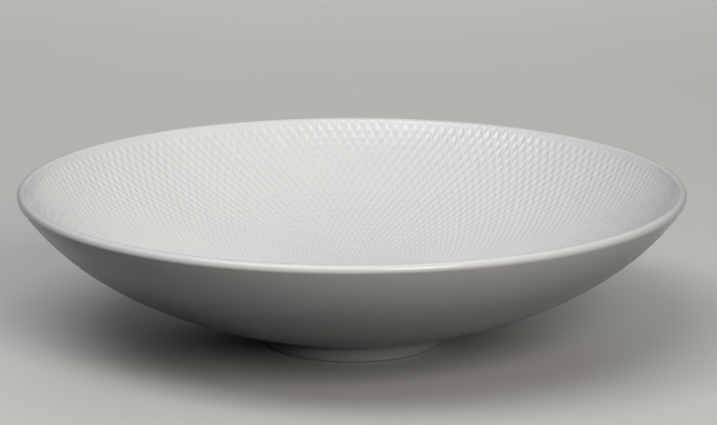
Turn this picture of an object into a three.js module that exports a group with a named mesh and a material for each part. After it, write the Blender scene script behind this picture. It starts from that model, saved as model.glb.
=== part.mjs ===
// A wide, shallow salad bowl of white glazed porcelain. The bowl is pressed in a mould, and the foot ring
// that it stands on is made apart and stuck to a flat seat under it before firing.
// Millimetres, +Z up. The origin is the centre of the ring's standing face.
import * as THREE from 'three';

const { degToRad } = THREE.MathUtils;

// Bowl
const RIM_RADIUS = 140; // axis to the outermost point of the lip
const BOWL_HEIGHT = 66.7; // standing face to the top of the lip
const LIP_RADIUS = 2.2; // rounding of the lip, which is half of the wall there
const OUTSIDE_SLOPE = 56; // degrees from level, where the outside runs into the lip
const INSIDE_SLOPE = 51; // degrees from level, where the inside runs into the lip; the wall thins upwards
const SPRING_SLOPE = 13; // degrees from level, where the outside springs from the edge of the seat
const FLOOR_THICKNESS = 6; // seat to the inside of the bowl, on the axis

// Foot ring
const FOOT_HEIGHT = 7.5; // standing face to the seat
const SEAT_RADIUS = 41.6; // outer edge of the seat, where the ring and the bowl meet flush
const SEAT_WIDTH = 9.6; // width of the ring at the seat
const FOOT_RADIUS = 37.8; // outer edge of the ring at the standing face, before it is rounded
const FOOT_WIDTH = 4.4; // width of the ring at the standing face, before its edges are rounded
const FOOT_EDGE = 1; // distance from either standing edge at which its rounding starts

// Facets
const SIDES = 72; // around the axis
const WALL_STEPS = 12; // up each face of the wall
const LIP_STEPS = 10; // over the lip
const EDGE_STEPS = 4; // over each rounded edge of the ring

const GLAZED_PORCELAIN = { color: 0xe6e5e1, roughness: 0.22, metalness: 0 };

// A point of a half section: its distance from the axis and its height.
const at = (radius, height) => new THREE.Vector2(radius, height);

// Where two straight lines cross, each given by one of its points and its slope in degrees.
function crossing(a, slopeA, b, slopeB) {
  const riseA = Math.tan(degToRad(slopeA));
  const riseB = Math.tan(degToRad(slopeB));
  const radius = (a.y - b.y - riseA * a.x + riseB * b.x) / (riseB - riseA);
  return at(radius, a.y + riseA * (radius - a.x));
}

// One face of the wall: the parabola from its lower end up to the lip that has the given slopes, in
// degrees, at those two ends.
function wallFace(low, lowSlope, lipEnd, lipSlope) {
  const control = crossing(low, lowSlope, lipEnd, lipSlope);
  return new THREE.QuadraticBezierCurve(low, control, lipEnd).getPoints(WALL_STEPS);
}

// A corner of a section, rounded over the same distance along both of its sides.
function roundedCorner(before, corner, after, distance) {
  const start = before.clone().sub(corner).setLength(distance).add(corner);
  const end = after.clone().sub(corner).setLength(distance).add(corner);
  return new THREE.QuadraticBezierCurve(start, corner, end).getPoints(EDGE_STEPS);
}

// Axis, flat seat, outside, lip and inside, back to the axis.
function bowlSection() {
  const lip = new THREE.EllipseCurve(
    RIM_RADIUS - LIP_RADIUS, BOWL_HEIGHT - LIP_RADIUS, LIP_RADIUS, LIP_RADIUS,
    degToRad(OUTSIDE_SLOPE - 90), degToRad(INSIDE_SLOPE + 90),
  ).getPoints(LIP_STEPS);
  const outside = wallFace(at(SEAT_RADIUS, FOOT_HEIGHT), SPRING_SLOPE, lip[0], OUTSIDE_SLOPE);
  const inside = wallFace(at(0, FOOT_HEIGHT + FLOOR_THICKNESS), 0, lip.at(-1), INSIDE_SLOPE).reverse();
  return [at(0, FOOT_HEIGHT), ...outside, ...lip.slice(1), ...inside.slice(1)];
}

// The ring narrows from the seat to the standing face, where both edges are rounded.
function footSection() {
  const seatOuter = at(SEAT_RADIUS, FOOT_HEIGHT);
  const seatInner = at(SEAT_RADIUS - SEAT_WIDTH, FOOT_HEIGHT);
  const standInner = at(FOOT_RADIUS - FOOT_WIDTH, 0);
  const standOuter = at(FOOT_RADIUS, 0);
  return [
    seatOuter,
    seatInner,
    ...roundedCorner(seatInner, standInner, standOuter, FOOT_EDGE),
    ...roundedCorner(standInner, standOuter, seatOuter, FOOT_EDGE),
    seatOuter.clone(),
  ];
}

// Turns a section about the axis and stands it up, with its height along +Z.
function turnedPiece(name, section, finish) {
  const geometry = new THREE.LatheGeometry(section, SIDES).rotateX(Math.PI / 2);
  const mesh = new THREE.Mesh(geometry, new THREE.MeshStandardMaterial(finish));
  mesh.name = name;
  return mesh;
}

const saladBowl = new THREE.Group();
saladBowl.name = 'salad_bowl';
saladBowl.add(
  turnedPiece('bowl_body', bowlSection(), GLAZED_PORCELAIN),
  turnedPiece('foot_ring', footSection(), GLAZED_PORCELAIN),
);

export default saladBowl;
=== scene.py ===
"""A wide, shallow salad bowl of white glazed porcelain, with a diamond relief inside, on a low foot ring.

The file is laid out as an add-on and is run as a script. Its operators make the bowl, the foot ring and the
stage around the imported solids, in metres, with +Z up.
"""
import math

import bmesh
import bpy
from bpy.props import FloatProperty, FloatVectorProperty, IntProperty, PointerProperty
from bpy.types import Operator, Panel, PropertyGroup
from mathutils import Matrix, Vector


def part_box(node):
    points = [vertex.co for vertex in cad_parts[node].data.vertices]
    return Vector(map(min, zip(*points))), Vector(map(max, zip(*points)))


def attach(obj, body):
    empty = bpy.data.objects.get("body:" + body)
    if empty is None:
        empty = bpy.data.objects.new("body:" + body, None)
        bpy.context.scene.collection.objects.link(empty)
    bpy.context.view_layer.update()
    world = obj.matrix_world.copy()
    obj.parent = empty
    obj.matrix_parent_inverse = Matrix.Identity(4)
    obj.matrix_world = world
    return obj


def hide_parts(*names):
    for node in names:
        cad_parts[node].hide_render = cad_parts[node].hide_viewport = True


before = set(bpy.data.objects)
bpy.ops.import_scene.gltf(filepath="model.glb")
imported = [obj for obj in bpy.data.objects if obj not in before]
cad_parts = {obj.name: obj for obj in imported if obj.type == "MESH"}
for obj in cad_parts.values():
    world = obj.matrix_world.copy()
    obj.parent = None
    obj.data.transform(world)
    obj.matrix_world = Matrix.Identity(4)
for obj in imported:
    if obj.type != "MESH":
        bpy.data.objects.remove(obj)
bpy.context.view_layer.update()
BOWL_LOW, BOWL_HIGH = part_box("bowl_body")
FOOT_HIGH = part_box("foot_ring")[1]

bl_info = {
    "name": "Salad bowl",
    "version": (1, 0, 0),
    "blender": (4, 5, 0),
    "location": "View3D > Sidebar > Salad bowl",
    "description": "Makes a porcelain salad bowl with a diamond relief inside, its foot ring and a stage",
    "category": "Add Mesh",
}

# Facets
OUTSIDE_STEPS = 16  # up the outside of the wall
LIP_STEPS = 20  # over the lip
WELL_STEPS = 8  # across the plain well
CURVE_STEPS = 256  # along the inside before the rows of the relief are measured off on it
DIAMOND_COLUMNS = 4  # columns of faces across a diamond
DIAMOND_ROWS = DIAMOND_COLUMNS // 2  # rows of faces from one row of diamonds to the next
FOOT_COLUMNS = 256  # around the foot ring
FOOT_EDGE_STEPS = 6  # over each rounded edge of the foot ring
WELD_DISTANCE = 0.00002

# Glaze. A pattern's scale is the number of its features in a metre, here and below.
GLAZE_IOR = 1.52
GLAZE_ROUGHNESS = (0.18, 0.26)  # of its glossiest and its dullest patches
NOISE_RANGE = (0.3, 0.7)  # most of what a cloudy pattern gives
POOL_SCALE = 38  # patches of thicker glaze
POOL_RANGE = (0.35, 0.75)  # part of that pattern over which the glaze gets thicker
POOL_SHARE = 0.5  # of thick glaze in such a patch
HOLLOW_GLAZE_AND_SHADE = 0.5  # share of the darker colour in the middle of a diamond's hollow: thicker glaze there, and painted shade
DULL_SCALE = 90  # patches of duller glaze
WAVE_SCALE = 240  # slow waves in the surface
RIPPLE_SCALE = 900  # finer ripples on the waves
RIPPLE_SHARE = 0.25  # height of the ripples against that of the waves
BUMP_STRENGTH = 0.12
BUMP_DISTANCE = 0.0004

# Bare standing face
BARE_ROUGHNESS = 0.7
GRAIN_SCALE = 2500  # grain of the ground porcelain
GRAIN_SHARE = 0.35  # of that grain in the colour
WIPE_SCALE = 300  # waves in the line where the glaze was wiped off
WIPE_WAVE = 0.00015  # how far that line strays
WIPE_EDGE = 0.00008  # half of its width

# Floor and dome
FLOOR_RADIUS = 12
FLOOR_SIDES = 96
FLOOR_ROUGHNESS = 0.85
MOTTLE_SCALE = 9
MOTTLE_SHADE = 0.97  # darkest part of the mottle, as a share of the floor's colour
DOME_RANGE = (0.45, 0.95)  # heights, as a share of straight up, between which the dome gets brighter
DOME_LOW = (0.02, 0.02, 0.02)
DOME_HIGH = (1, 1, 1)

# Photograph
IMAGE_WIDTH = 717  # pixels
SENSOR_WIDTH = 36  # millimetres


def length_property(name, description, default):
    return FloatProperty(name=name, description=description, default=default, precision=5, unit="LENGTH")


def angle_property(name, description, degrees):
    return FloatProperty(name=name, description=description, default=math.radians(degrees), subtype="ANGLE")


def colour_property(name, description, default):
    return FloatVectorProperty(
        name=name, description=description, default=default, subtype="COLOR", min=0, max=1)


def power_property(name, description, watts):
    return FloatProperty(name=name, description=description, default=watts, unit="POWER", min=0)


class BowlSettings(PropertyGroup):
    """Sizes and colours of the bowl."""

    rim_radius: length_property("Rim radius", "Axis to the outermost point of the lip", BOWL_HIGH.x)
    height: length_property("Height", "Standing face to the top of the lip", BOWL_HIGH.z)
    seat_height: length_property("Seat height", "Standing face to the flat seat under the bowl", BOWL_LOW.z)
    seat_radius: length_property("Seat radius", "Outer edge of the flat seat under the bowl", FOOT_HIGH.x)
    floor_thickness: length_property("Floor thickness", "Seat to the inside, on the axis", 0.006)
    lip_radius: length_property("Lip radius", "Rounding of the lip, half of the wall there", 0.0022)
    outside_slope: angle_property("Outside slope", "From level, where the outside runs into the lip", 56)
    inside_slope: angle_property("Inside slope", "From level, where the inside runs into the lip", 51)
    spring_slope: angle_property("Spring slope", "From level, where the outside leaves the seat", 13)
    diamonds: IntProperty(
        name="Diamonds", description="Diamonds in each row around the inside", default=192, min=3)
    rows: IntProperty(
        name="Rows", description="Rows of diamonds from the lip down to the plain well", default=30, min=1)
    row_at_lip: length_property("Row at lip", "Step between rows of diamonds at the lip", 0.00428)
    row_at_centre: length_property(
        "Row at centre", "Step between rows of diamonds, if they went on to the centre", 0.00189)
    relief_depth: length_property("Relief depth", "Depth of each diamond's hollow", 0.0005)
    cut_width: length_property(
        "Cut width", "Lip to the middle of the top row, which it cuts in half", 0.0007)
    cut_depth: length_property("Cut depth", "Depth of the hollows of that cut row", 0.0002)
    net_edge: FloatProperty(
        name="Net edge", description="How the net between the diamonds shades, from round to sharp",
        default=0.45, min=0, max=1, subtype="FACTOR")
    glaze: colour_property("Glaze", "White of the glaze where it is thin", (0.83, 0.83, 0.826))
    # This cooler, darker white is also painted shade: the relief's hollows are darkened towards it in their
    # middle.
    thick_glaze_and_shade: colour_property("Thick glaze", "Cooler white where it has pooled", (0.79, 0.795, 0.798))


class FootSettings(PropertyGroup):
    """Sizes and colours of the foot ring."""

    seat_width: length_property("Seat width", "Width of the ring where it meets the bowl", 0.0096)
    stand_radius: length_property("Stand radius", "Outer edge of the ring at the standing face", 0.0378)
    stand_width: length_property("Stand width", "Width of the ring at the standing face", 0.0044)
    edge_rounding: length_property("Edge rounding", "Rounding of the two standing edges", 0.0014)
    seam_rounding: length_property("Seam rounding", "Rounding of the edge that meets the bowl", 0.00035)
    glaze_line: length_property("Glaze line", "Height up to which the glaze is wiped off", 0.00045)
    glaze: colour_property("Glaze", "White of the glaze where it is thin", (0.82, 0.815, 0.8))
    # The foot has no hollows, so this colour only shows in its patches of thicker glaze.
    thick_glaze_and_shade: colour_property("Thick glaze", "Cooler white where it has pooled", (0.78, 0.785, 0.78))
    bare: colour_property("Bare porcelain", "Ground porcelain of the standing face", (0.66, 0.63, 0.58))


class StageSettings(PropertyGroup):
    """The floor, the lights and the camera."""

    floor: colour_property("Floor", "Colour of the floor as it is seen", (0.74, 0.735, 0.72))
    bounce: colour_property("Bounce", "Colour that the floor throws back on the bowl", (0.01, 0.01, 0.01))
    key: power_property("Key", "Power of the softbox at the front left", 6.3)
    fill: power_property("Fill", "Power of the softbox at the front right", 38)
    back: power_property("Back", "Power of the softbox behind", 3)
    dome: FloatProperty(
        name="Dome", description="Strength of the soft light from above", default=0.33, min=0)
    aim: FloatVectorProperty(
        name="Aim", description="Point that the camera looks at", default=(0.00272, 0, 0.05488),
        subtype="TRANSLATION", unit="LENGTH")
    distance: length_property("Distance", "Camera to the point that it looks at", 1.6)
    elevation: angle_property("Elevation", "Camera above level", 13.257)
    focal_pixels: FloatProperty(
        name="Focal length", description="Focal length of the camera in pixels of the photograph",
        default=3811.8, subtype="PIXEL")


def add_node(tree, kind, inputs=None, **settings):
    """Adds a node. Each input is given by name or number, with a socket to link to it or a plain value."""
    made = tree.nodes.new(kind)
    for name, value in settings.items():
        setattr(made, name, value)
    for key, value in (inputs or {}).items():
        if isinstance(value, bpy.types.NodeSocket):
            tree.links.new(value, made.inputs[key])
        else:
            made.inputs[key].default_value = value
    return made


def calc(tree, operation, *values):
    """The result of a Math node."""
    inputs = dict(enumerate(values))
    return add_node(tree, "ShaderNodeMath", inputs, operation=operation).outputs[0]


def whole(tree, operation, *values):
    """The result of an Integer Math node."""
    inputs = dict(enumerate(values))
    return add_node(tree, "FunctionNodeIntegerMath", inputs, operation=operation).outputs[0]


def compare(tree, operation, a, b):
    """Whether two whole numbers compare as the operation says."""
    inputs = {2: a, 3: b}
    return add_node(tree, "FunctionNodeCompare", inputs, data_type="INT", operation=operation).outputs[0]


def new_tree(name, inputs, outputs):
    """A geometry tree with named inputs and outputs, and its input and output nodes."""
    tree = bpy.data.node_groups.new(name, "GeometryNodeTree")
    for way, sockets in (("INPUT", inputs), ("OUTPUT", outputs)):
        for label, kind in sockets.items():
            tree.interface.new_socket(label, in_out=way, socket_type="NodeSocket" + kind)
    return tree, tree.nodes.new("NodeGroupInput").outputs, tree.nodes.new("NodeGroupOutput").inputs


def turned_section_tree():
    """Turns a section in the XZ plane about the Z axis. Row and Column number the points of the result."""
    tree, given, result = new_tree(
        "Turned section",
        {"Section": "Geometry", "Columns": "Int", "Closed": "Int"},
        {"Surface": "Geometry", "Row": "Int", "Column": "Int"},
    )
    points = add_node(tree, "GeometryNodeCurveToMesh", {"Curve": given["Section"]}).outputs[0]
    count = add_node(tree, "GeometryNodeAttributeDomainSize", {0: points}).outputs["Point Count"]
    rows = whole(tree, "ADD", count, given["Closed"])
    grid = add_node(tree, "GeometryNodeMeshGrid", {
        "Vertices X": whole(tree, "ADD", given["Columns"], 1),
        "Vertices Y": rows,
    })
    index = tree.nodes.new("GeometryNodeInputIndex").outputs[0]
    column = whole(tree, "DIVIDE_FLOOR", index, rows)
    row = whole(tree, "MODULO", index, rows)
    on_section = add_node(tree, "GeometryNodeSampleIndex", {
        "Geometry": points,
        "Value": tree.nodes.new("GeometryNodeInputPosition").outputs[0],
        "Index": whole(tree, "MODULO", row, count),
    }, data_type="FLOAT_VECTOR")
    turned = add_node(tree, "ShaderNodeVectorRotate", {
        "Vector": on_section.outputs[0],
        "Angle": calc(tree, "MULTIPLY", calc(tree, "DIVIDE", column, given["Columns"]), math.tau),
    }, rotation_type="Z_AXIS")
    placed = add_node(tree, "GeometryNodeSetPosition", {
        "Geometry": grid.outputs["Mesh"],
        "Position": turned.outputs[0],
    })
    tree.links.new(placed.outputs[0], result["Surface"])
    tree.links.new(row, result["Row"])
    tree.links.new(column, result["Column"])
    return tree


def finish_surface(tree, surfaces, material, result):
    """Joins turned surfaces, welds their seams and poles, and shades and paints the result."""
    joined = tree.nodes.new("GeometryNodeJoinGeometry")
    for surface in surfaces:
        tree.links.new(surface, joined.inputs[0])
    welded = add_node(tree, "GeometryNodeMergeByDistance", {
        "Geometry": joined.outputs[0],
        "Distance": WELD_DISTANCE,
    })
    smooth = add_node(tree, "GeometryNodeSetShadeSmooth", {"Geometry": welded.outputs[0]})
    solid = add_node(tree, "GeometryNodeRealizeInstances", {"Geometry": smooth.outputs[0]})
    painted = add_node(tree, "GeometryNodeSetMaterial", {
        "Geometry": solid.outputs[0],
        "Material": material,
    })
    tree.links.new(painted.outputs[0], result)


def face_rows(tree, given):
    """Rows of faces in the relief: one above the middle of the top row of diamonds, and those below it."""
    return whole(tree, "MULTIPLY_ADD", whole(tree, "ADD", given["Rows"], 1), DIAMOND_ROWS, 1)


def row_curve(tree, inside, given):
    """The part of the inside that carries the relief, with points at the rows of faces, its length, and the
    length of the whole inside. The first step leads from the lip to the middle of the top row of diamonds,
    and the others shrink towards the centre by the same share each."""
    whole_length = add_node(tree, "GeometryNodeCurveLength", {"Curve": inside}).outputs[0]
    shrink = calc(
        tree, "DIVIDE", calc(tree, "SUBTRACT", given["Row At Lip"], given["Row At Centre"]), whole_length)
    last_step = face_rows(tree, given)

    def distance_from_lip(step):
        below = calc(tree, "MAXIMUM", calc(tree, "SUBTRACT", step, 1), 0)
        power = calc(tree, "MULTIPLY", calc(tree, "DIVIDE", below, -DIAMOND_ROWS), shrink)
        left = calc(tree, "EXPONENT", power)
        reach = calc(tree, "DIVIDE", given["Row At Lip"], shrink)
        cut = calc(tree, "MULTIPLY", calc(tree, "MINIMUM", step, 1), given["Cut Width"])
        return calc(tree, "ADD", cut, calc(tree, "MULTIPLY", reach, calc(tree, "SUBTRACT", 1, left)))

    line = tree.nodes.new("GeometryNodeCurvePrimitiveLine").outputs[0]
    steps = add_node(tree, "GeometryNodeResampleCurve", {
        "Curve": line,
        "Count": whole(tree, "ADD", last_step, 1),
    })
    index = tree.nodes.new("GeometryNodeInputIndex").outputs[0]
    on_inside = add_node(tree, "GeometryNodeSampleCurve", {
        "Curves": inside,
        "Length": distance_from_lip(index),
    }, mode="LENGTH")
    rows = add_node(tree, "GeometryNodeSetPosition", {
        "Geometry": steps.outputs[0],
        "Position": on_inside.outputs["Position"],
    })
    return rows.outputs[0], distance_from_lip(last_step), whole_length


def diamond_hollow(tree, row, column, given):
    """How deep each point lies in a hollow: 0 on the net between the diamonds and 1 in the middle, with the
    same rise to all four sides. The top row is cut in half by the lip and is less deep, and the relief ends
    below in whole diamonds."""
    lattice_row = whole(tree, "SUBTRACT", row, 1)
    slants = [
        calc(tree, "DIVIDE", whole(tree, way, column, lattice_row), DIAMOND_COLUMNS)
        for way in ("ADD", "SUBTRACT")
    ]
    middles = [calc(tree, "ROUND", slant) for slant in slants]
    offsets = [calc(tree, "SUBTRACT", slant, middle) for slant, middle in zip(slants, middles)]
    squares = [calc(tree, "MULTIPLY", offset, offset) for offset in offsets]
    # From 1 in the middle of a diamond to 0 on the net, half a step away.
    falls = [calc(tree, "MULTIPLY_ADD", square, -4, 1) for square in squares]
    hollow = calc(tree, "MULTIPLY", *falls)
    diamond_row = calc(tree, "SUBTRACT", *middles)
    below_top = calc(tree, "GREATER_THAN", diamond_row, 0.5)
    above_well = calc(tree, "LESS_THAN", diamond_row, calc(tree, "ADD", given["Rows"], 0.5))
    in_full = calc(tree, "MULTIPLY", below_top, above_well)
    in_top = calc(tree, "COMPARE", diamond_row, 0, 0.5)
    in_cut = calc(tree, "MULTIPLY", in_top, calc(tree, "MINIMUM", row, 1))
    cut_share = calc(tree, "DIVIDE", given["Cut Depth"], given["Relief Depth"])
    share = calc(tree, "MULTIPLY_ADD", in_cut, cut_share, in_full)
    return calc(tree, "MULTIPLY", hollow, share)


def split_along_net(tree, surface, given):
    """Splits each face of the relief into two triangles along the net where it crosses the face, and
    elsewhere along the slant that leads to a diamond's middle."""
    rows = face_rows(tree, given)
    index = tree.nodes.new("GeometryNodeInputIndex").outputs[0]
    column = whole(tree, "DIVIDE_FLOOR", index, rows)
    row = whole(tree, "SUBTRACT", whole(tree, "MODULO", index, rows), 1)
    total = whole(tree, "ADD", column, row)
    gap = whole(tree, "FLOORED_MODULO", whole(tree, "SUBTRACT", column, row), DIAMOND_COLUMNS)
    even = compare(tree, "EQUAL", whole(tree, "FLOORED_MODULO", total, 2), 0)
    on_net = compare(tree, "EQUAL", gap, DIAMOND_COLUMNS // 2)
    place = whole(tree, "FLOORED_MODULO", total, DIAMOND_COLUMNS)
    to_middle = compare(tree, "EQUAL", place, DIAMOND_COLUMNS - 1)
    rising = add_node(tree, "FunctionNodeBooleanMath", {
        0: add_node(tree, "FunctionNodeBooleanMath", {0: even, 1: on_net}, operation="AND").outputs[0],
        1: to_middle,
    }, operation="OR").outputs[0]
    kind = "GeometryNodeTriangulate"
    half = add_node(tree, kind, {"Mesh": surface, "Selection": rising}, quad_method="FIXED").outputs[0]
    return add_node(tree, kind, {"Mesh": half}, quad_method="FIXED_ALTERNATE").outputs[0]


def bowl_tree(turned_section):
    """The bowl: seat, outside, lip, relief and plain well, each turned, and welded into one."""
    tree, given, result = new_tree("Bowl with diamond relief", {
        "Seat Centre": "Vector",
        "Seat Edge": "Vector",
        "Outside Control": "Vector",
        "Lip Start": "Vector",
        "Lip Centre": "Vector",
        "Lip Radius": "Float",
        "Lip Angle": "Float",
        "Lip Sweep": "Float",
        "Lip End": "Vector",
        "Inside Control": "Vector",
        "Floor Centre": "Vector",
        "Diamonds": "Int",
        "Rows": "Int",
        "Row At Lip": "Float",
        "Row At Centre": "Float",
        "Relief Depth": "Float",
        "Cut Width": "Float",
        "Cut Depth": "Float",
        "Material": "Material",
    }, {"Bowl": "Geometry"})
    columns = whole(tree, "MULTIPLY", given["Diamonds"], DIAMOND_COLUMNS)

    def turned(section):
        inputs = {"Section": section, "Columns": columns}
        return add_node(tree, "GeometryNodeGroup", inputs, node_tree=turned_section)

    seat = add_node(tree, "GeometryNodeCurvePrimitiveLine", {
        "Start": given["Seat Centre"],
        "End": given["Seat Edge"],
    })
    outside = add_node(tree, "GeometryNodeCurveQuadraticBezier", {
        "Resolution": OUTSIDE_STEPS,
        "Start": given["Seat Edge"],
        "Middle": given["Outside Control"],
        "End": given["Lip Start"],
    })
    rounding = add_node(tree, "GeometryNodeCurveArc", {
        "Resolution": LIP_STEPS + 1,
        "Radius": given["Lip Radius"],
        "Start Angle": given["Lip Angle"],
        "Sweep Angle": given["Lip Sweep"],
    }, mode="RADIUS")
    lip = add_node(tree, "GeometryNodeTransform", {
        "Geometry": rounding.outputs[0],
        "Translation": given["Lip Centre"],
        "Rotation": (math.pi / 2, 0, 0),
    })
    inside = add_node(tree, "GeometryNodeCurveQuadraticBezier", {
        "Resolution": CURVE_STEPS,
        "Start": given["Lip End"],
        "Middle": given["Inside Control"],
        "End": given["Floor Centre"],
    }).outputs[0]
    rows, relief_length, inside_length = row_curve(tree, inside, given)
    trimmed = add_node(tree, "GeometryNodeTrimCurve", {
        "Curve": inside,
        4: relief_length,  # start
        5: inside_length,  # end
    }, mode="LENGTH")
    well = add_node(tree, "GeometryNodeResampleCurve", {
        "Curve": trimmed.outputs[0],
        "Count": WELL_STEPS + 1,
    })

    plain = [turned(section.outputs[0]).outputs["Surface"] for section in (seat, outside, lip, well)]
    relief = turned(rows)
    hollow = diamond_hollow(tree, relief.outputs["Row"], relief.outputs["Column"], given)
    marked = add_node(tree, "GeometryNodeStoreNamedAttribute", {
        "Geometry": relief.outputs["Surface"],
        "Name": "hollow",
        "Value": hollow,
    })
    inwards = add_node(tree, "ShaderNodeVectorMath", {
        0: tree.nodes.new("GeometryNodeInputNormal").outputs[0],
        "Scale": calc(tree, "MULTIPLY", calc(tree, "MULTIPLY", hollow, given["Relief Depth"]), -1),
    }, operation="SCALE")
    pressed = add_node(tree, "GeometryNodeSetPosition", {
        "Geometry": marked.outputs[0],
        "Offset": inwards.outputs[0],
    })
    relief_faces = split_along_net(tree, pressed.outputs[0], given)
    finish_surface(tree, [*plain, relief_faces], given["Material"], result["Bowl"])
    return tree


def foot_tree(turned_section):
    """The foot ring: a section of four corners, rounded at the seam and the standing face, and turned."""
    tree, given, result = new_tree("Foot ring", {
        "Seat Outer": "Vector",
        "Seat Inner": "Vector",
        "Stand Inner": "Vector",
        "Stand Outer": "Vector",
        "Edge Rounding": "Float",
        "Seam Rounding": "Float",
        "Material": "Material",
    }, {"Foot": "Geometry"})
    corners = add_node(tree, "GeometryNodeCurvePrimitiveQuadrilateral", {
        "Point 1": given["Seat Outer"],
        "Point 2": given["Seat Inner"],
        "Point 3": given["Stand Inner"],
        "Point 4": given["Stand Outer"],
    }, mode="POINTS")
    index = tree.nodes.new("GeometryNodeInputIndex").outputs[0]
    # Points 0 and 1 are at the seam, 2 and 3 at the standing face.
    rounding = add_node(tree, "GeometryNodeSwitch", {
        "Switch": compare(tree, "GREATER_THAN", index, 1),
        "False": given["Seam Rounding"],
        "True": given["Edge Rounding"],
    }, input_type="FLOAT")
    rounded = add_node(tree, "GeometryNodeFilletCurve", {
        "Curve": corners.outputs[0],
        "Count": FOOT_EDGE_STEPS,
        "Radius": rounding.outputs[0],
    }, mode="POLY")
    ring = add_node(tree, "GeometryNodeGroup", {
        "Section": rounded.outputs[0],
        "Columns": FOOT_COLUMNS,
        "Closed": 1,
    }, node_tree=turned_section)
    finish_surface(tree, [ring.outputs["Surface"]], given["Material"], result["Foot"])
    return tree


def make_piece(name, tree, values):
    """Runs a tree with the given inputs and keeps the result as a plain, closed mesh."""
    piece = bpy.data.objects.new(name, bpy.data.meshes.new(name + "_start"))
    bpy.context.scene.collection.objects.link(piece)
    modifier = piece.modifiers.new(name, "NODES")
    modifier.node_group = tree
    for item in tree.interface.items_tree:
        if item.in_out == "INPUT":
            modifier[item.identifier] = values[item.name]
    depsgraph = bpy.context.evaluated_depsgraph_get()
    mesh = bpy.data.meshes.new_from_object(
        piece.evaluated_get(depsgraph), preserve_all_data_layers=True, depsgraph=depsgraph)
    piece.modifiers.remove(modifier)
    mesh.name = name
    piece.data = mesh
    test = bmesh.new()
    test.from_mesh(mesh)
    closed = len(test.faces) > 0 and all(edge.is_manifold for edge in test.edges)
    test.free()
    if not closed:
        raise RuntimeError(f"{name} isn't a closed mesh")
    return piece


def show_net(mesh, share):
    """Turns the shading normals on the relief part of the way to each face's own, so that its net shows."""
    hollow = mesh.attributes["hollow"].data
    normals = []
    for face in mesh.polygons:
        turn = share if any(hollow[vertex].value > 0 for vertex in face.vertices) else 0
        for vertex in face.vertices:
            normals.append(mesh.vertices[vertex].normal.lerp(face.normal, turn).normalized())
    mesh.normals_split_custom_set(normals)


def keep_piece(piece, node):
    """Lets a finished piece stand for a CAD node: puts it under the root body and hides the node's own
    solid.
    """
    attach(piece, "root")
    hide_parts(node)


def at(radius, height):
    """A point of a section, drawn in the XZ plane."""
    return Vector((radius, 0, height))


def square_to(slope):
    """The way out of a section's face that has a slope, down and away from the axis."""
    return at(math.sin(slope), -math.cos(slope))


def crossing(a, slope_a, b, slope_b):
    """Where two straight lines of a section cross, each given by one of its points and its slope."""
    rise_a = math.tan(slope_a)
    rise_b = math.tan(slope_b)
    radius = (a.z - b.z - rise_a * a.x + rise_b * b.x) / (rise_b - rise_a)
    return at(radius, a.z + rise_a * (radius - a.x))


def new_material(name):
    """A material with a plain shader, and its tree and shader."""
    material = bpy.data.materials.new(name)
    material.use_nodes = True
    return material, material.node_tree, material.node_tree.nodes["Principled BSDF"]


def mixed(tree, share, a, b):
    """A colour between two others."""
    return add_node(tree, "ShaderNodeMix", {0: share, 6: a, 7: b}, data_type="RGBA").outputs[2]


def ranged(tree, value, low, high, to_low=0.0, to_high=1.0):
    """A value moved from one range to another."""
    inputs = {"Value": value, "From Min": low, "From Max": high, "To Min": to_low, "To Max": to_high}
    return add_node(tree, "ShaderNodeMapRange", inputs).outputs[0]


def noise(tree, scale, detail):
    """A cloudy pattern fixed to the piece, with that many features in a metre."""
    place = tree.nodes.new("ShaderNodeTexCoord").outputs["Object"]
    inputs = {"Vector": place, "Scale": scale, "Detail": detail}
    return add_node(tree, "ShaderNodeTexNoise", inputs).outputs["Fac"]


def opaque(colour):
    return (*colour, 1)


def glaze_nodes(tree, glaze, thick_glaze_and_shade):
    """Colour, roughness and surface height of a white glaze, thicker in soft patches, and darker in the
    hollows of the relief, where thicker glaze and painted shade both stand.
    """
    patches = ranged(tree, noise(tree, POOL_SCALE, 3), *POOL_RANGE, 0, POOL_SHARE)
    hollow = add_node(tree, "ShaderNodeAttribute", attribute_name="hollow").outputs["Fac"]
    # Painted shade: the middle of each hollow is darkened towards the thick glaze colour, as thicker glaze
    # and as shade there; thickness carries both.
    thickness = calc(tree, "ADD", patches, calc(tree, "MULTIPLY", hollow, HOLLOW_GLAZE_AND_SHADE))
    colour = mixed(tree, thickness, opaque(glaze), opaque(thick_glaze_and_shade))
    roughness = ranged(tree, noise(tree, DULL_SCALE, 3), *NOISE_RANGE, *GLAZE_ROUGHNESS)
    ripples = calc(tree, "MULTIPLY", noise(tree, RIPPLE_SCALE, 1), RIPPLE_SHARE)
    height = calc(tree, "ADD", noise(tree, WAVE_SCALE, 1), ripples)
    return colour, roughness, height


def bumped(tree, height):
    """A normal that follows a height pattern, faintly."""
    inputs = {"Strength": BUMP_STRENGTH, "Distance": BUMP_DISTANCE, "Height": height}
    return add_node(tree, "ShaderNodeBump", inputs).outputs[0]


def bowl_material(settings):
    """White glaze over pressed porcelain."""
    material, tree, shader = new_material("White glaze")
    colour, roughness, height = glaze_nodes(tree, settings.glaze, settings.thick_glaze_and_shade)
    tree.links.new(colour, shader.inputs["Base Color"])
    tree.links.new(roughness, shader.inputs["Roughness"])
    tree.links.new(bumped(tree, height), shader.inputs["Normal"])
    shader.inputs["IOR"].default_value = GLAZE_IOR
    return material


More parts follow.
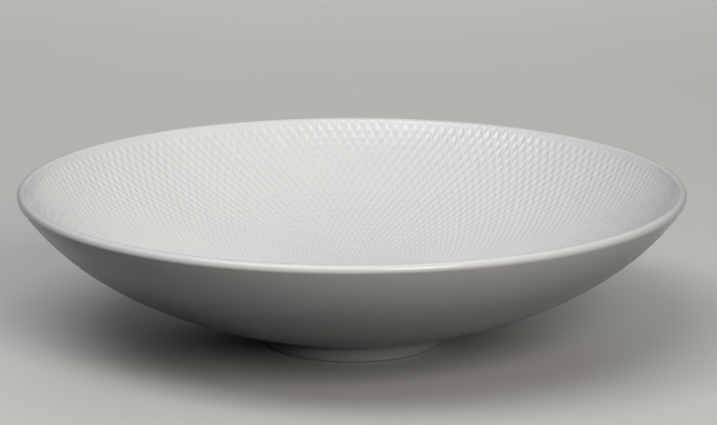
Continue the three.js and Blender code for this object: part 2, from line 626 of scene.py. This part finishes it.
def foot_material(settings):
    """The same glaze, wiped off and ground bare on the standing face."""
    material, tree, shader = new_material("White glaze on the foot")
    colour, roughness, height = glaze_nodes(tree, settings.glaze, settings.thick_glaze_and_shade)
    place = tree.nodes.new("ShaderNodeTexCoord").outputs["Object"]
    up = add_node(tree, "ShaderNodeSeparateXYZ", {"Vector": place}).outputs["Z"]
    wave = ranged(tree, noise(tree, WIPE_SCALE, 2), *NOISE_RANGE, -WIPE_WAVE, WIPE_WAVE)
    edge = calc(tree, "ADD", up, wave)
    bare = ranged(tree, edge, settings.glaze_line + WIPE_EDGE, settings.glaze_line - WIPE_EDGE)
    grain = noise(tree, GRAIN_SCALE, 4)
    grain_share = ranged(tree, grain, *NOISE_RANGE)
    grain_colour = mixed(tree, grain_share, opaque(settings.bare), opaque(settings.glaze))
    ground = mixed(tree, GRAIN_SHARE, opaque(settings.bare), grain_colour)
    tree.links.new(mixed(tree, bare, colour, ground), shader.inputs["Base Color"])
    rough = add_node(tree, "ShaderNodeMix", {0: bare, 2: roughness, 3: BARE_ROUGHNESS}).outputs[0]
    tree.links.new(rough, shader.inputs["Roughness"])
    relief = add_node(tree, "ShaderNodeMix", {0: bare, 2: height, 3: grain}).outputs[0]
    tree.links.new(bumped(tree, relief), shader.inputs["Normal"])
    shader.inputs["IOR"].default_value = GLAZE_IOR
    return material


class SALADBOWL_OT_bowl(Operator):
    """Make the bowl with its diamond relief"""

    bl_idname = "salad_bowl.make_bowl"
    bl_label = "Make bowl"

    def execute(self, context):
        bowl = context.scene.salad_bowl
        lip_centre = at(bowl.rim_radius - bowl.lip_radius, bowl.height - bowl.lip_radius)
        seat_edge = at(bowl.seat_radius, bowl.seat_height)
        lip_start = lip_centre + square_to(bowl.outside_slope) * bowl.lip_radius
        lip_end = lip_centre - square_to(bowl.inside_slope) * bowl.lip_radius
        floor_centre = at(0, bowl.seat_height + bowl.floor_thickness)
        piece = make_piece("porcelain_bowl", bowl_tree(turned_section_tree()), {
            "Seat Centre": at(0, bowl.seat_height),
            "Seat Edge": seat_edge,
            "Outside Control": crossing(seat_edge, bowl.spring_slope, lip_start, bowl.outside_slope),
            "Lip Start": lip_start,
            "Lip Centre": lip_centre,
            "Lip Radius": bowl.lip_radius,
            "Lip Angle": bowl.outside_slope - math.pi / 2,
            "Lip Sweep": math.pi + bowl.inside_slope - bowl.outside_slope,
            "Lip End": lip_end,
            "Inside Control": crossing(floor_centre, 0, lip_end, bowl.inside_slope),
            "Floor Centre": floor_centre,
            "Diamonds": bowl.diamonds,
            "Rows": bowl.rows,
            "Row At Lip": bowl.row_at_lip,
            "Row At Centre": bowl.row_at_centre,
            "Relief Depth": bowl.relief_depth,
            "Cut Width": bowl.cut_width,
            "Cut Depth": bowl.cut_depth,
            "Material": bowl_material(bowl),
        })
        show_net(piece.data, bowl.net_edge)
        keep_piece(piece, "bowl_body")
        return {"FINISHED"}


class SALADBOWL_OT_foot(Operator):
    """Make the foot ring"""

    bl_idname = "salad_bowl.make_foot"
    bl_label = "Make foot ring"

    def execute(self, context):
        bowl = context.scene.salad_bowl
        foot = context.scene.salad_bowl_foot
        piece = make_piece("porcelain_foot_ring", foot_tree(turned_section_tree()), {
            "Seat Outer": at(bowl.seat_radius, bowl.seat_height),
            "Seat Inner": at(bowl.seat_radius - foot.seat_width, bowl.seat_height),
            "Stand Inner": at(foot.stand_radius - foot.stand_width, 0),
            "Stand Outer": at(foot.stand_radius, 0),
            "Edge Rounding": foot.edge_rounding,
            "Seam Rounding": foot.seam_rounding,
            "Material": foot_material(foot),
        })
        keep_piece(piece, "foot_ring")
        return {"FINISHED"}


def add_softbox(name, azimuth, elevation, distance, size, colour, power, mirrored=True):
    """A soft lamp that faces the bowl. Azimuth 0 is on the camera's side and 90 on the right, in degrees.
    The glaze shows a reflection of it if it is mirrored."""
    turn = math.radians(azimuth)
    rise = math.radians(elevation)
    way = Vector((math.sin(turn) * math.cos(rise), -math.cos(turn) * math.cos(rise), math.sin(rise)))
    lamp = bpy.data.lights.new(name, "AREA")
    lamp.shape = "RECTANGLE"
    lamp.size, lamp.size_y = size
    lamp.color = colour
    lamp.energy = power
    box = bpy.data.objects.new(name, lamp)
    box.location = way * distance
    box.rotation_euler = way.to_track_quat("Z", "Y").to_euler()
    box.visible_camera = False
    box.visible_glossy = mirrored
    bpy.context.scene.collection.objects.link(box)


def seen_directly(tree):
    """1 for what the camera sees, straight or in a reflection, and 0 for light on its way to a surface."""
    path = tree.nodes.new("ShaderNodeLightPath").outputs
    straight = calc(tree, "MAXIMUM", path["Is Camera Ray"], path["Is Transmission Ray"])
    return calc(tree, "MAXIMUM", straight, path["Is Glossy Ray"])


def make_floor(colour, bounce):
    """A wide round floor with a faint mottle."""
    mesh = bpy.data.meshes.new("floor")
    disc = bmesh.new()
    bmesh.ops.create_circle(disc, cap_ends=True, radius=FLOOR_RADIUS, segments=FLOOR_SIDES)
    disc.to_mesh(mesh)
    disc.free()
    material, tree, shader = new_material("Pale floor")
    darker = [part * MOTTLE_SHADE for part in colour]
    seen = mixed(tree, noise(tree, MOTTLE_SCALE, 3), opaque(darker), opaque(colour))
    tree.links.new(mixed(tree, seen_directly(tree), opaque(bounce), seen), shader.inputs["Base Color"])
    shader.inputs["Roughness"].default_value = FLOOR_ROUGHNESS
    shader.inputs["Specular IOR Level"].default_value = 0
    mesh.materials.append(material)
    floor = bpy.data.objects.new("floor", mesh)
    bpy.context.scene.collection.objects.link(floor)


def make_dome(strength):
    """Soft light from high above, and hardly any from low down."""
    world = bpy.data.worlds.new("Soft dome")
    world.use_nodes = True
    tree = world.node_tree
    way = tree.nodes.new("ShaderNodeTexCoord").outputs["Generated"]
    up = add_node(tree, "ShaderNodeSeparateXYZ", {"Vector": way}).outputs["Z"]
    shade = mixed(tree, ranged(tree, up, *DOME_RANGE), opaque(DOME_LOW), opaque(DOME_HIGH))
    background = tree.nodes["Background"]
    tree.links.new(shade, background.inputs["Color"])
    background.inputs["Strength"].default_value = strength
    bpy.context.scene.world = world


def make_camera(stage):
    """The camera at the photograph's angle."""
    camera = bpy.data.objects.new("camera", bpy.data.cameras.new("camera"))
    camera.data.sensor_width = SENSOR_WIDTH
    camera.data.lens = stage.focal_pixels / IMAGE_WIDTH * SENSOR_WIDTH
    back = Vector((0, -math.cos(stage.elevation), math.sin(stage.elevation)))
    camera.location = Vector(stage.aim) + back * stage.distance
    camera.rotation_euler = (math.pi / 2 - stage.elevation, 0, 0)
    bpy.context.scene.collection.objects.link(camera)
    bpy.context.scene.camera = camera


class SALADBOWL_OT_stage(Operator):
    """Make the floor, the lights and the camera"""

    bl_idname = "salad_bowl.make_stage"
    bl_label = "Make stage"

    def execute(self, context):
        stage = context.scene.salad_bowl_stage
        make_floor(stage.floor, stage.bounce)
        make_dome(stage.dome)
        add_softbox(
            "key softbox", azimuth=-27, elevation=58.5, distance=1.276, size=(1.1, 0.46),
            colour=(0.98, 0.99, 1), power=stage.key)
        add_softbox(
            "fill softbox", azimuth=24, elevation=27, distance=2.8, size=(1, 1.4),
            colour=(1, 0.96, 0.91), power=stage.fill)
        add_softbox(
            "back softbox", azimuth=180, elevation=24, distance=1.4, size=(0.8, 0.5),
            colour=(1, 1, 1), power=stage.back, mirrored=False)
        make_camera(stage)
        context.scene.view_settings.view_transform = "Standard"
        return {"FINISHED"}


class SALADBOWL_PT_panel(Panel):
    """Lists the sizes and the operators"""

    bl_idname = "SALADBOWL_PT_panel"
    bl_label = "Salad bowl"
    bl_space_type = "VIEW_3D"
    bl_region_type = "UI"
    bl_category = "Salad bowl"

    def draw(self, context):
        for attribute, _, operator in PARTS:
            box = self.layout.box()
            settings = getattr(context.scene, attribute)
            for name in settings.__annotations__:
                box.prop(settings, name)
            box.operator(operator.bl_idname)


PARTS = (
    ("salad_bowl", BowlSettings, SALADBOWL_OT_bowl),
    ("salad_bowl_foot", FootSettings, SALADBOWL_OT_foot),
    ("salad_bowl_stage", StageSettings, SALADBOWL_OT_stage),
)


def register():
    for attribute, settings, operator in PARTS:
        bpy.utils.register_class(settings)
        bpy.utils.register_class(operator)
        setattr(bpy.types.Scene, attribute, PointerProperty(type=settings))
    bpy.utils.register_class(SALADBOWL_PT_panel)


def unregister():
    bpy.utils.unregister_class(SALADBOWL_PT_panel)
    for attribute, settings, operator in reversed(PARTS):
        delattr(bpy.types.Scene, attribute)
        bpy.utils.unregister_class(operator)
        bpy.utils.unregister_class(settings)


def main():
    register()
    bpy.ops.salad_bowl.make_bowl()
    bpy.ops.salad_bowl.make_foot()
    bpy.ops.salad_bowl.make_stage()


if __name__ == "__main__":
    main()
